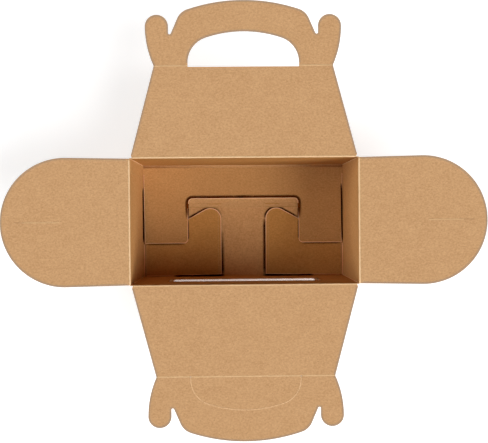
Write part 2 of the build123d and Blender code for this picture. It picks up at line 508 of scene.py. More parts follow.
def edge_group() -> bpy.types.NodeTree:
    """Mask of the sharp edges that the die left round the board.

    Returns:
        A group with the output Mask, 1 at an edge.
    """
    wires, given, result = number_group("die_cut_edges", {"Radius": 0.5 * MM}, ("Mask",))
    rounded_off = wires.add("ShaderNodeBevel", samples=8)
    wires.feed(given.outputs["Radius"], rounded_off.inputs["Radius"])
    surface = wires.add("ShaderNodeNewGeometry")
    likeness = wires.add("ShaderNodeVectorMath", operation="DOT_PRODUCT")
    wires.feed(rounded_off.outputs["Normal"], likeness.inputs[0])
    wires.feed(surface.outputs["True Normal"], likeness.inputs[1])
    turned = wires.maths("SUBTRACT", 1.0, likeness.outputs["Value"])
    wires.feed(wires.span(turned, 0.0, 0.01), result.inputs["Mask"])
    return wires.tree


def zone_group() -> bpy.types.NodeTree:
    """Mask of a block that lies the same on both sides of the middle.

    Returns:
        A group with the output Mask, 1 inside the block, and inputs in a Zone's order.
    """
    names = ("X Low", "X High", "Y Low", "Y High", "Z Low", "Z High", "Y Least")
    wires, given, result = number_group("zone_of_sheet", dict.fromkeys(names, 0.0), ("Mask",))
    axes = wires.add("ShaderNodeSeparateXYZ")
    wires.feed(wires.place(), axes.inputs[0])
    out_x = wires.maths("ABSOLUTE", axes.outputs["X"])
    out_y = wires.maths("ABSOLUTE", axes.outputs["Y"])
    inside = wires.maths("GREATER_THAN", axes.outputs["Y"], given.outputs["Y Least"])
    for axis, out in (("X", out_x), ("Y", out_y), ("Z", axes.outputs["Z"])):
        above = wires.maths("GREATER_THAN", out, given.outputs[f"{axis} Low"])
        below = wires.maths("LESS_THAN", out, given.outputs[f"{axis} High"])
        inside = wires.maths("MULTIPLY", inside, wires.maths("MULTIPLY", above, below))
    wires.feed(inside, result.inputs["Mask"])
    return wires.tree


def pattern_group(name: str, fineness: Rgb) -> bpy.types.NodeTree:
    """One noise over the sheet, such as film streaks or the unevenness of painted shade.

    Args:
        name: The group's name.
        fineness: Features to a metre along each axis.

    Returns:
        A group with the output Pattern, 0 where the noise is Low and 1 where it is High.
    """
    wires, given, result = number_group(name, {"Low": 0.0, "High": 1.0}, ("Pattern",))
    noise = wires.noise(fineness, 2.0)
    pattern = wires.span(noise, given.outputs["Low"], given.outputs["High"])
    wires.feed(pattern, result.inputs["Pattern"])
    return wires.tree


def seen_directly(wires: Wires) -> Socket:
    """Adds a mask of the rays from the camera, reflections and clear things.

    Args:
        wires: The tree's wires.

    Returns:
        1 for those rays and 0 for the rays that light the object.
    """
    path = wires.add("ShaderNodeLightPath").outputs
    seen = wires.maths("ADD", path["Is Camera Ray"], path["Is Glossy Ray"])
    return wires.span(wires.maths("ADD", seen, path["Is Transmission Ray"]), 0.0, 1.0)


class Palette:
    """Makes each finish into one material."""

    def __init__(self) -> None:
        """Builds the groups that the materials share."""
        self.fibres = fibre_group()
        self.edges = edge_group()
        self.zones = zone_group()
        self.streaks = pattern_group("film_streaks", (40.0, 40.0, 260.0))
        # Noise that makes the painted shade uneven
        self.shade_noise = pattern_group("painted_shade_noise", (900.0, 900.0, 900.0))
        self.materials: dict[str, bpy.types.Material] = {}

    def start(self, name: str) -> tuple[Wires, bpy.types.NodeInputs]:
        """Starts a material with one Principled shader.

        Args:
            name: The material's name.

        Returns:
            The material's wires and its shader's inputs.
        """
        material = bpy.data.materials.new(name)
        material.use_nodes = True
        material.node_tree.nodes.clear()
        wires = Wires(material.node_tree)
        shader = wires.add("ShaderNodeBsdfPrincipled")
        wires.feed(shader.outputs[0], wires.add("ShaderNodeOutputMaterial").inputs["Surface"])
        self.materials[name] = material
        return wires, shader.inputs

    def within(self, wires: Wires, zone: Zone) -> Socket:
        """Adds the mask of a zone of the sheet.

        Args:
            wires: The material's wires.
            zone: The zone, in millimetres.

        Returns:
            1 inside the zone.
        """
        node = wires.effect(self.zones)
        for limit, socket in zip(astuple(zone), node.inputs):
            wires.feed(limit * MM, socket)
        return node.outputs["Mask"]

    def outside(self, wires: Wires, zone: Zone) -> Socket:
        """Adds the mask of all but a zone of the sheet."""
        return wires.maths("SUBTRACT", 1.0, self.within(wires, zone))

    def board(self, finish: BoardFinish) -> bpy.types.Material:
        """Kraft board with its fibres, shives, die-cut edges, and zones of painted light and shade.

        Args:
            finish: Colours and strengths.

        Returns:
            The material, made once.
        """
        if finish.name not in self.materials:
            wires, shader = self.start(finish.name)
            fibres = wires.effect(self.fibres, Cloud=finish.cloud).outputs
            pulp = wires.grade(fibres["Tone"], finish.deep, finish.pale)
            specks = wires.maths("MULTIPLY", fibres["Shive"], finish.shive_share)
            face = wires.grade(specks, pulp, finish.shive)
            if finish.edge_share > 0.0:
                edges = wires.effect(self.edges, Radius=finish.edge_reach * MM)
                cut = wires.maths("MULTIPLY", edges.outputs["Mask"], finish.edge_share)
                for zone in finish.spared:
                    cut = wires.maths("MULTIPLY", cut, self.outside(wires, zone))
                face = wires.grade(cut, face, finish.edge)
            # Painted light and shade: each zone's colour is multiplied up or down
            for zone, tint in finish.painted_light_and_shade:
                face = wires.grade(self.within(wires, zone), face, tint, "MULTIPLY")
            # Painted light: a paler line painted in these zones
            for zone in finish.painted_light_zones:
                face = wires.grade(self.within(wires, zone), face, finish.mark)
            wires.feed(face, shader["Base Color"])
            smooth = finish.roughness - finish.polish
            rough = wires.span(fibres["Tone"], 0.0, 1.0, finish.roughness, smooth)
            wires.feed(rough, shader["Roughness"])
            wires.feed(finish.shine, shader["Specular IOR Level"])
            bump = wires.add("ShaderNodeBump")
            wires.feed(finish.bump, bump.inputs["Strength"])
            wires.feed(finish.relief * MM, bump.inputs["Distance"])
            wires.feed(fibres["Height"], bump.inputs["Height"])
            wires.feed(bump.outputs["Normal"], shader["Normal"])
        return self.materials[finish.name]

    def film(self, finish: FilmFinish) -> bpy.types.Material:
        """Film or glue, clear when faced and hazy when seen at a slant, with faint streaks.

        Args:
            finish: Tint, alpha and roughness.

        Returns:
            The material, made once.
        """
        if finish.name not in self.materials:
            wires, shader = self.start(finish.name)
            streak = wires.effect(self.streaks).outputs["Pattern"]
            roughest = [finish.roughness * share for share in finish.roughness_shares]
            wires.feed(wires.span(streak, NOISE_LOW, NOISE_HIGH, *roughest), shader["Roughness"])
            dull = tuple(value * (1.0 - finish.smear) for value in finish.tint)
            wires.feed(wires.grade(streak, finish.tint, dull), shader["Base Color"])
            slant = wires.add("ShaderNodeLayerWeight").outputs["Facing"]
            hazes = [finish.alpha * share for share in finish.alpha_shares]
            haze = wires.span(slant, finish.haze_start, 1.0, *hazes)
            smears = (1.0 - finish.smear, 1.0 + finish.smear)
            smear = wires.span(streak, NOISE_LOW, NOISE_HIGH, *smears)
            wires.feed(wires.maths("MULTIPLY", haze, smear), shader["Alpha"])
            wires.feed(finish.refraction, shader["IOR"])
        return self.materials[finish.name]

    def shade(self, finish: ShadeFinish) -> bpy.types.Material:
        """Painted shade whose cover comes from the mesh's own measure of it.

        Args:
            finish: Colours.

        Returns:
            The material, made once.
        """
        if finish.name not in self.materials:
            wires, shader = self.start(finish.name)
            shade_noise = wires.effect(self.shade_noise, Low=NOISE_LOW, High=NOISE_HIGH).outputs["Pattern"]
            wires.feed(wires.grade(shade_noise, finish.deep, finish.pale), shader["Base Color"])
            wires.feed(finish.roughness, shader["Roughness"])
            wires.feed(0.0, shader["Specular IOR Level"])
            # How much painted shade covers each point, stored on the strip's mesh
            cover = wires.add("ShaderNodeAttribute", attribute_name=COVER).outputs["Fac"]
            thin = wires.span(shade_noise, 0.0, 1.0, 1.0, finish.shade_noise_cover)
            wires.feed(wires.maths("MULTIPLY", cover, thin), shader["Alpha"])
        return self.materials[finish.name]

    def table(self, finish: TableFinish) -> bpy.types.Material:
        """Pale table that the camera and reflections see as whiter beside the box.

        Args:
            finish: Tint and lift.

        Returns:
            The material.
        """
        wires, shader = self.start(finish.name)
        wires.feed((*finish.tint, 1.0), shader["Base Color"])
        wires.feed(finish.roughness, shader["Roughness"])
        clear = wires.maths("MULTIPLY", self.outside(wires, FOOTPRINT), seen_directly(wires))
        lift = (finish.lift, finish.lift, finish.lift)
        wires.feed(wires.grade(clear, (0.0, 0.0, 0.0), lift), shader["Emission Color"])
        wires.feed(1.0, shader["Emission Strength"])
        return self.materials[finish.name]


class Bench:
    """Puts finished pieces on their bodies and keeps the list of them."""

    def __init__(self, palette: Palette) -> None:
        """Takes the palette that the pieces are dressed from."""
        self.palette = palette
        self.placed: list[str] = []

    def place(
        self,
        name: str,
        form: bmesh.types.BMesh,
        material: bpy.types.Material,
        body: str = "box",
        slot: str = "kraft_board",
    ) -> bpy.types.Object:
        """Makes a piece from a mesh in millimetres and lets it ride on a body.

        Args:
            name: The piece's name.
            form: Its mesh, in millimetres in the shared frame.
            material: Its material.
            body: The body that it rides on.
            slot: Not used.

        Returns:
            The piece.
        """
        bmesh.ops.recalc_face_normals(form, faces=form.faces)
        bmesh.ops.scale(form, vec=(MM, MM, MM), verts=form.verts)
        mesh = bpy.data.meshes.new(name)
        form.to_mesh(mesh)
        form.free()
        mesh.materials.append(material)
        piece = bpy.data.objects.new(name, mesh)
        bpy.context.scene.collection.objects.link(piece)
        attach(piece, body)
        self.placed.append(name)
        log.info("%s rides on %s with %s", name, body, material.name)
        return piece

    def dress(self, node: str, material: bpy.types.Material) -> None:
        """Gives a CAD node its material.

        Args:
            node: The node's name.
            material: The material for all its slots.
        """
        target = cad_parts[node]
        if not target.material_slots:
            target.data.materials.append(material)
        for place in target.material_slots:
            place.material = material
        log.info("%s is dressed with %s", node, material.name)


def swept(rows: Sequence[Sequence[Vector]]) -> bmesh.types.BMesh:
    """Skins a row of like outlines into a solid with flat ends.

    Args:
        rows: Closed outlines in order, each with the same number of points.

    Returns:
        The mesh.
    """
    form = bmesh.new()
    rings = [[form.verts.new(point) for point in row] for row in rows]
    for ring, following in zip(rings, rings[1:]):
        for index in range(len(ring)):
            after = (index + 1) % len(ring)
            form.faces.new((ring[index], ring[after], following[after], following[index]))
    ends = (form.faces.new(rings[0]), form.faces.new(list(reversed(rings[-1]))))
    for face in form.faces:
        face.smooth = face not in ends
    return form


def rounded(points: Sequence[Point], radii: Sequence[float]) -> list[Point]:
    """Rounds the inner corners of a path.

    Args:
        points: Corners of the path.
        radii: Radius at each corner, 0 where it stays sharp.

    Returns:
        The path with its arcs.
    """
    path = [points[0]]
    for before, corner, after, radius in zip(points, points[1:], points[2:], radii[1:]):
        if radius == 0.0:
            path.append(corner)
            continue
        middle = Vector(corner)
        way_in = (Vector(before) - middle).normalized()
        way_out = (Vector(after) - middle).normalized()
        half = way_in.angle(way_out) / 2
        centre = middle + (way_in + way_out).normalized() * radius / sin(half)
        first = middle + way_in * radius / tan(half) - centre
        last = middle + way_out * radius / tan(half) - centre
        for index in range(ARC_STEPS + 1):
            arm = first.slerp(last, index / ARC_STEPS).normalized() * radius
            path.append(tuple(centre + arm))
    path.append(points[-1])
    return path


def heading(spots: Sequence[Vector], index: int) -> Vector:
    """Finds the way that a path runs at one of its points.

    Args:
        spots: The path's points.
        index: Which of them.

    Returns:
        The direction.
    """
    ahead = spots[min(index + 1, len(spots) - 1)] - spots[index]
    behind = spots[index] - spots[max(index - 1, 0)]
    return (ahead.normalized() + behind.normalized()).normalized()


@dataclass
class FoldedSheet:
    """The CAD solids of the sheet and the film, which keep their own shapes."""

    board_nodes: tuple[tuple[str, BoardFinish], ...] = (
        ("box_body", BODY),
        ("back_roof", ROOF),
        ("front_roof", ROOF),
        ("back_handle", BACK_HANDLE),
        ("front_handle", FRONT_HANDLE),
        ("finger_flap", FRONT_HANDLE),
        ("left_end_flap", END_FLAP),
        ("right_end_flap", END_FLAP),
    )
    film_node: str = "window_film"

    def build(self, bench: Bench) -> None:
        """Dresses the solids in board and film.

        Args:
            bench: The bench that dresses them.
        """
        for node, finish in self.board_nodes:
            bench.dress(node, bench.palette.board(finish))
        bench.dress(self.film_node, bench.palette.film(FILM))


@dataclass
class PressedFolds:
    """Rounded beads of stretched pulp and painted highlight where the flaps turn, in millimetres."""

    bead_radius: float = 0.28
    rim_reach: float = 1.15
    ridge_reach: float = 0.95
    shoulder_share: float = 0.6
    rise: float = 0.005
    roof_setback: float = 1.5
    waver: float = 0.12
    step: float = 2.5
    round_points: int = 7

    def section(self, reach: float) -> list[Point]:
        """Outline across a fold: a round back about the axis, then a flat tongue.

        Args:
            reach: How far the tongue runs out over the flap.

        Returns:
            Points as distance outwards and height over the axis.
        """
        turns = [pi / 2 + pi * index / (self.round_points - 1) for index in range(self.round_points)]
        back = [(self.bead_radius * cos(turn), self.bead_radius * sin(turn)) for turn in turns]
        flush = PLAN.board / 2 + self.rise
        shoulder = self.shoulder_share * reach
        lower = [(shoulder, -self.bead_radius), (reach, -flush)]
        return [*back, *lower, (reach, flush), (shoulder, self.bead_radius)]

    def strip(self, hinge: Hinge, start: float, end: float, reach: float) -> bmesh.types.BMesh:
        """Sweeps the section along a fold, its outer edge wavering a little.

        Two waves of unlike length make the waver, so it doesn't repeat along a fold.

        Args:
            hinge: The fold.
            start: Where the strip starts along the fold.
            end: Where it ends.
            reach: How far it runs out over the flap.

        Returns:
            The mesh.
        """
        count = max(2, round((end - start) / self.step))
        rows = []
        for index in range(count + 1):
            at = start + (end - start) * index / count
            drift = self.waver * (sin(0.61 * at) + 0.6 * sin(1.73 * at + 1.1)) / 1.6
            base = hinge.origin + hinge.along * at
            points = self.section(reach + drift)
            rows.append([base + hinge.outward * out + Vector((0.0, 0.0, up)) for out, up in points])
        return swept(rows)

    def build(self, bench: Bench) -> None:
        """Makes the folds at the rim and at both ridges.

        Args:
            bench: The bench that places them.
        """
        roof = PLAN.roof_base_half - self.roof_setback
        end = PLAN.end_base_half
        hand = PLAN.finger_half
        flap = PLAN.finger_half - PLAN.knife_gap
        tip = PLAN.roof_ridge_half
        plans = (
            ("fold_back_rim", Hinge.BACK_RIM, -roof, roof, "back_roof"),
            ("fold_front_rim", Hinge.FRONT_RIM, -roof, roof, "front_roof"),
            ("fold_left_rim", Hinge.LEFT_RIM, -end, end, "left_end"),
            ("fold_right_rim", Hinge.RIGHT_RIM, -end, end, "right_end"),
            ("fold_back_ridge_1", Hinge.BACK_RIDGE, -tip, -hand, "back_handle"),
            ("fold_back_ridge_2", Hinge.BACK_RIDGE, hand, tip, "back_handle"),
            ("fold_front_ridge_1", Hinge.FRONT_RIDGE, -tip, -hand, "front_handle"),
            ("fold_front_ridge_2", Hinge.FRONT_RIDGE, hand, tip, "front_handle"),
            ("fold_finger_flap", Hinge.FRONT_RIDGE, -flap, flap, "finger_flap"),
        )
        for name, hinge, start, stop, body in plans:
            at_ridge = hinge in (Hinge.BACK_RIDGE, Hinge.FRONT_RIDGE)
            reach = self.ridge_reach if at_ridge else self.rim_reach
            # The ridges and the front rim take the dimmer copy of the painted highlight
            dim_highlight = at_ridge or hinge is Hinge.FRONT_RIM
            material = bench.palette.board(CREASE_PULP_AND_DIM_HIGHLIGHT if dim_highlight else CREASE_PULP_AND_HIGHLIGHT)
            bench.place(name, self.strip(hinge, start, stop, reach), material, body)


@dataclass
class BottomEdges:
    """Beads on the edges of the four bottom panels, painted pale as a highlight, in millimetres.

    The bead's points are distances in from the edge and heights over the panel's face.
    """

    hook_foot_gap: float = 0.1
    leg_start: float = 14.7
    leg_stop: Point = (113.6, 53.0)
    tongue_start: float = 13.8
    tongue_corner: float = 4.99
    bead: tuple[Point, ...] = (
        (-0.04, -0.4),
        (-0.05, -0.05),
        (0.12, 0.05),
        (0.85, 0.012),
        (0.85, -0.1),
        (0.1, -0.4),
    )

    def hook_top(self, x: float, y: float) -> float:
        """Height of a hook's upper face."""
        share = (BOTTOM.hook_foot - abs(x)) / (BOTTOM.hook_foot - BOTTOM.hook_inner)
        return BOTTOM.hook_level + BOTTOM.hook_rise * share + PLAN.board

    def leg_top(self, x: float, y: float) -> float:
        """Height of the back panel's upper face."""
        return BOTTOM.leg_level + PLAN.board

    def tongue_top(self, x: float, y: float) -> float:
        """Height of the tongue's upper face.

        Args:
            x: Distance from the middle, which makes no difference.
            y: Distance from the middle towards the back.

        Returns:
            The height over the table.
        """
        if y <= BOTTOM.tongue_bend:
            return PLAN.board
        if y <= BOTTOM.recess_top:
            share = (y - BOTTOM.tongue_bend) / (BOTTOM.recess_top - BOTTOM.tongue_bend)
            return PLAN.board + BOTTOM.tongue_level * share
        share = (y - BOTTOM.recess_top) / (BOTTOM.tongue_tip - BOTTOM.recess_top)
        return PLAN.board + BOTTOM.tongue_level + BOTTOM.tongue_lift * share

    def edge(self, path: Sequence[Point], level: Level) -> bmesh.types.BMesh:
        """Sweeps the bead along an edge whose panel lies to the left.

        Args:
            path: The edge seen from above.
            level: Height of the panel's upper face at a place.

        Returns:
            The mesh.
        """
        spots = [Vector(point) for point in path]
        rows = []
        for index, spot in enumerate(spots):
            way = heading(spots, index)
            left = Vector((-way.y, way.x))
            face = level(spot.x, spot.y)
            row = []
            for inward, up in self.bead:
                at = spot + left * inward
                row.append(Vector((at.x, at.y, face + up)))
            rows.append(row)
        return swept(rows)

    def build(self, bench: Bench) -> None:
        """Makes the edges of the hooks, the legs and the tongue.

        Args:
            bench: The bench that places them.
        """
        # Painted highlight along the panels' edges
        material = bench.palette.board(EDGE_HIGHLIGHT)
        hook = rounded(
            [
                (BOTTOM.recess_half, BOTTOM.hook_back(BOTTOM.recess_half)),
                (BOTTOM.hook_inner, BOTTOM.hook_peak),
                (BOTTOM.hook_inner, BOTTOM.hook_front_gap - BOTTOM.inner_y),
                (BOTTOM.hook_foot, self.hook_foot_gap - BOTTOM.inner_y),
            ],
            [0.0, BOTTOM.hook_radius, 0.0, 0.0],
        )
        leg = rounded(
            [
                (BOTTOM.recess_half, self.leg_start),
                (BOTTOM.recess_half, BOTTOM.leg_end),
                (BOTTOM.inner_x - BOTTOM.leg_taper, BOTTOM.leg_end),
                self.leg_stop,
            ],
            [0.0, BOTTOM.leg_corner, 0.0, 0.0],
        )
        for side in Side:
            for kind, path, level in (("hook", hook, self.hook_top), ("leg", leg, self.leg_top)):
                turned = [(side.value * x, y) for x, y in path]
                if side is Side.LEFT:
                    turned.reverse()
                bench.place(f"edge_{kind}_{side.word}", self.edge(turned, level), material)
        marks = (self.tongue_start, BOTTOM.tongue_bend, BOTTOM.recess_top, BOTTOM.tongue_tip)
        half = [(BOTTOM.tongue_half, y) for y in marks]
        corners = [0.0, 0.0, 0.0, self.tongue_corner]
        tongue = rounded(half + [(-x, y) for x, y in reversed(half)], corners + corners[::-1])
        bench.place("edge_tongue", self.edge(tongue, self.tongue_top), material)


@dataclass(frozen=True)
class Crack:
    """Painted shade along a crevice, drawn for the right half, in millimetres.

    The shares say how dark it starts and ends. It climbs with the hook under it towards the
    middle, and rises across its width where it leans on a wall. One that doesn't fade is
    painted dark across an open gap, as dark at its far side.
    """

    name: str
    path: tuple[Point, ...]
    level: float
    width: float
    start_share: float = 1.0
    end_share: float = 1.0
    climb: float = 0.0
    rise: float = 0.0
    fades: bool = True


@dataclass(frozen=True)
class HalfCracks:
    """What differs between the painted shade strips of the two halves of the bottom."""

    side: Side
    tongue_level: float
    stem_start: float
    stem_share: float
    slot: Crack


@dataclass
class PanelCracks:
    """Painted contact shadows beside the edges of the bottom panels, in millimetres.

    The bands are places across a strip, in shares of its width, and how much shade covers each.
    An end_fade of 8 lets each end fade over an eighth of the strip. The tongue's two strips run
    on past its middle, so that their faded ends overlap.
    """

    step: float = 1.5
    lift: float = 0.035
    depth: float = 0.02
    end_fade: float = 8.0
    bands: tuple[Point, ...] = ((-0.3, 1.0), (0.3, 1.0), (0.55, 0.5), (1.0, 0.0))
    tongue_start: float = 2.0
    tongue_stop: float = -12.0
    tongue_top: float = 25.75
    tongue_corner: float = 5.2
    hook_start: float = 62.7
    stem_stop: float = -62.0
    hook_face: float = 1.31
    hook_climb: float = 0.0259
    leg: tuple[Point, ...] = ((66.1, -25.5), (112.2, -25.5))
    shin: tuple[Point, ...] = ((63.1, 1.0), (63.1, -21.5))
    front: tuple[Point, ...] = ((21.3, -61.5), (80.0, -61.9))
    halves: tuple[HalfCracks, ...] = (
        HalfCracks(
            Side.RIGHT,
            tongue_level=3.54,
            stem_start=2.2,
            stem_share=0.75,
            slot=Crack("slot", ((112.4, -25.0), (111.7, 42.0)), 3.6, 1.3, fades=False),
        ),
        HalfCracks(
            Side.LEFT,
            tongue_level=3.52,
            stem_start=-8.0,
            stem_share=0.0,
            slot=Crack("slot", ((113.3, -25.0), (113.3, 38.0)), 4.6, 0.45, rise=6.5, fades=False),
        ),
    )

    def strip(self, painted_shade: Crack) -> bmesh.types.BMesh:
        """Lays a thin strip of painted shade to the right of a path, its cover fading outwards.

        Args:
            painted_shade: The strip of painted shade and its path.

        Returns:
            The mesh.
        """
        spots = [Vector(point) for point in painted_shade.path]
        fine = []
        for spot, following in zip(spots, spots[1:]):
            count = max(1, round((following - spot).length / self.step))
            fine.extend(spot.lerp(following, index / count) for index in range(count))
        fine.append(spots[-1])
        rows, covers = [], []
        for index, spot in enumerate(fine):
            way = heading(fine, index)
            right = Vector((way.y, -way.x))
            along = index / (len(fine) - 1)
            share = painted_shade.start_share + (painted_shade.end_share - painted_shade.start_share) * along
            share *= min(1.0, self.end_fade * along, self.end_fade * (1.0 - along))
            height = painted_shade.level + self.lift + painted_shade.climb * (BOTTOM.inner_x - abs(spot.x))
            over = []
            for out, _ in self.bands:
                at = spot + right * painted_shade.width * out
                over.append(Vector((at.x, at.y, height + painted_shade.rise * out)))
            under = [point - Vector((0.0, 0.0, self.depth)) for point in reversed(over)]
            rows.append(over + under)
            across = [share * (cover if painted_shade.fades else 1.0) for _, cover in self.bands]
            covers.extend(across + across[::-1])
        form = swept(rows)
        layer = form.verts.layers.float.new(COVER)
        for vert, cover in zip(form.verts, covers):
            vert[layer] = cover
        return form

    def cracks(self, half: HalfCracks) -> list[Crack]:
        """Draws the painted shade strips of one half of the bottom.

        Args:
            half: What this half has of its own.

        Returns:
            The painted shade strips, drawn for the right half.
        """
        x, inner, top = BOTTOM.recess_half, BOTTOM.hook_inner, self.tongue_top
        tongue = rounded(
            [(x, self.tongue_start), (x, top), (self.tongue_stop, top)],
            [0.0, self.tongue_corner, 0.0],
        )
        hook = rounded(
            [
                (self.hook_start, BOTTOM.hook_back(self.hook_start)),
                (inner, BOTTOM.hook_peak),
                (inner, 0.0),
            ],
            [0.0, BOTTOM.hook_radius, 0.0],
        )
        stem = ((inner, half.stem_start), (inner, self.stem_stop))
        share, face, climb = half.stem_share, self.hook_face, self.hook_climb
        return [
            Crack("tongue", tuple(tongue), half.tongue_level, 3.6),
            Crack("hook", tuple(hook[:-1]), PLAN.board, 2.6, end_share=share),
            Crack("stem", stem, PLAN.board, 3.6, start_share=share),
            Crack("leg", self.leg, face, 2.6, 0.4, 0.4, climb),
            Crack("shin", self.shin, face, 1.8, 0.7, 0.8, climb),
            half.slot,
            Crack("front", self.front, 3.3, 1.3, rise=9.0, fades=False),
        ]

    def build(self, bench: Bench) -> None:
        """Makes the painted shade strips of both halves.

        Args:
            bench: The bench that places them.
        """
        for half in self.halves:
            sign = half.side.value
            for painted_shade in self.cracks(half):
                path = tuple((sign * x, y) for x, y in painted_shade.path)
                turned = replace(painted_shade, path=path, width=sign * painted_shade.width)
                # Brown painted shade beside raised edges, near-black painted shade in open gaps
                material = bench.palette.shade(SHADE if painted_shade.fades else GAP)
                name = f"crack_{painted_shade.name}_{half.side.word}"
                bench.place(name, self.strip(turned), material)


@dataclass(frozen=True)
class Bead:
    """A round bead of pulp between two points, in millimetres."""

    name: str
    start: Place
    end: Place
    radius: float
    finish: BoardFinish


@dataclass
class WallFolds:
    """Rounded pulp in the corners of the walls and along their feet, in millimetres.

    A side foot runs forward from the place in side_foot. front_foot gives half a length and a
    height, and back_foot a distance behind the middle and a height.
    """

    corner_x: float = 113.75
    corner_y: float = 62.95
    tab_x: float = -113.25
    tab_gap: float = 5.0
    low: float = 1.0
    radius: float = 0.3
    side_foot: Place = (113.4, -26.5, 1.05)
    side_foot_radius: float = 0.45
    front_foot: Point = (109.0, 0.62)
    back_foot: Point = (62.93, 4.25)
    back_foot_radius: float = 0.25
    sill: tuple[Point, ...] = (
        (63.05, 4.2),
        (62.5, 3.82),
        (61.6, 3.62),
        (60.3, 3.54),
        (60.3, 3.2),
        (63.05, 0.8),
    )
    points: int = 8
    step: float = 4.0
    waver: float = 0.15

    def beads(self) -> list[Bead]:
        """Lists the corners from the glue tab round, and the feet of all walls but the back.

        Returns:
            The beads.
        """
        x, y, low, rim = self.corner_x, self.corner_y, self.low, PLAN.rim
        tab, gap = self.tab_x, self.tab_gap
        side_x, side_end, side_z = self.side_foot
        half, front_z = self.front_foot
        wide = self.side_foot_radius
        return [
            Bead("corner_fold_1", (tab, y, gap), (tab, y, rim - gap), self.radius, CREASE_PULP_AND_HIGHLIGHT),
            Bead("corner_fold_2", (x, y, low), (x, y, rim), self.radius, CREASE_PULP_AND_HIGHLIGHT),
            Bead("corner_fold_3", (x, -y, low), (x, -y, rim), self.radius, CREASE_PULP_AND_HIGHLIGHT),
            Bead("corner_fold_4", (-x, -y, low), (-x, -y, rim), self.radius, CREASE_PULP_AND_HIGHLIGHT),
            Bead("foot_fold_left", (-side_x, -y, side_z), (-side_x, side_end, side_z), wide, EDGE_HIGHLIGHT),
            Bead("foot_fold_right", (side_x, -y, side_z), (side_x, side_end, side_z), wide, EDGE_HIGHLIGHT),
            Bead("foot_fold_front", (-half, -y, front_z), (half, -y, front_z), self.radius, FOOT),
        ]

    def rolled(self, bead: Bead) -> bmesh.types.BMesh:
        """Makes a slightly uneven round bead.

        Args:
            bead: The bead.

        Returns:
            The mesh.
        """
        start, end = Vector(bead.start), Vector(bead.end)
        way = (end - start).normalized()
        across = way.orthogonal().normalized()
        over = way.cross(across)
        count = max(2, round((end - start).length / self.step))
        turns = [2 * pi * number / self.points for number in range(self.points)]
        rows = []
        for index in range(count + 1):
            at = start.lerp(end, index / count)
            size = bead.radius * (1.0 + self.waver * sin(2.3 * index) * sin(0.7 * index + 0.4))
            rows.append([at + across * size * cos(turn) + over * size * sin(turn) for turn in turns])
        return swept(rows)

    def build(self, bench: Bench) -> None:
        """Makes the corner folds and the foot folds, the back one on a sill.

        Args:
            bench: The bench that places them.
        """
        for bead in self.beads():
            bench.place(bead.name, self.rolled(bead), bench.palette.board(bead.finish))
        x = self.corner_x
        rows = [[Vector((at, out, up)) for out, up in self.sill] for at in (-x, 0.0, x)]
        bench.place("foot_sill_back", swept(rows), bench.palette.board(FOOT))
        ends = ((-x, *self.back_foot), (x, *self.back_foot))
        back = Bead("foot_fold_back", *ends, self.back_foot_radius, CREASE_PULP_AND_DIM_HIGHLIGHT)
        bench.place(back.name, self.rolled(back), bench.palette.board(back.finish))


@dataclass
class WindowGlue:
    """The band of clear glue that holds the film inside the front wall, in millimetres."""

    face: float = -62.9
    middle: float = 59.0
    half_length: float = 78.2
    half_height: float = 17.2
    half_band: float = 1.4
    depth: float = 0.04
    corner: float = 3.0
    corner_steps: int = 6
    waver: float = 0.12
    weld: float = 0.001

    def build(self, bench: Bench) -> None:
        """Makes the band round the window.

        Args:
            bench: The bench that places it.
        """
        spots = []
        reach = self.half_length - self.corner
        climb = self.half_height - self.corner
        for quarter, (right, up) in enumerate(((1, 1), (-1, 1), (-1, -1), (1, -1))):
            base = Vector((right * reach, self.face, self.middle + up * climb))
            for index in range(self.corner_steps + 1):
                turn = pi / 2 * (quarter + index / self.corner_steps)
                way = Vector((cos(turn), 0.0, sin(turn)))
                spots.append((base + way * self.corner, way))
        deep = Vector((0.0, self.depth, 0.0))
        rows = []
        for number, (spot, way) in enumerate([*spots, spots[0]]):
            half = self.half_band * (1.0 + self.waver * sin(1.9 * (number % len(spots))))
            inner, outer = spot - way * half, spot + way * half
            rows.append([inner, outer, outer + deep, inner + deep])
        form = swept(rows)
        ends = [face for face in form.faces if not face.smooth]
        bmesh.ops.delete(form, geom=ends, context="FACES_ONLY")
        bmesh.ops.remove_doubles(form, verts=form.verts, dist=self.weld)
        bench.place("window_glue", form, bench.palette.film(GLUE), slot="film")


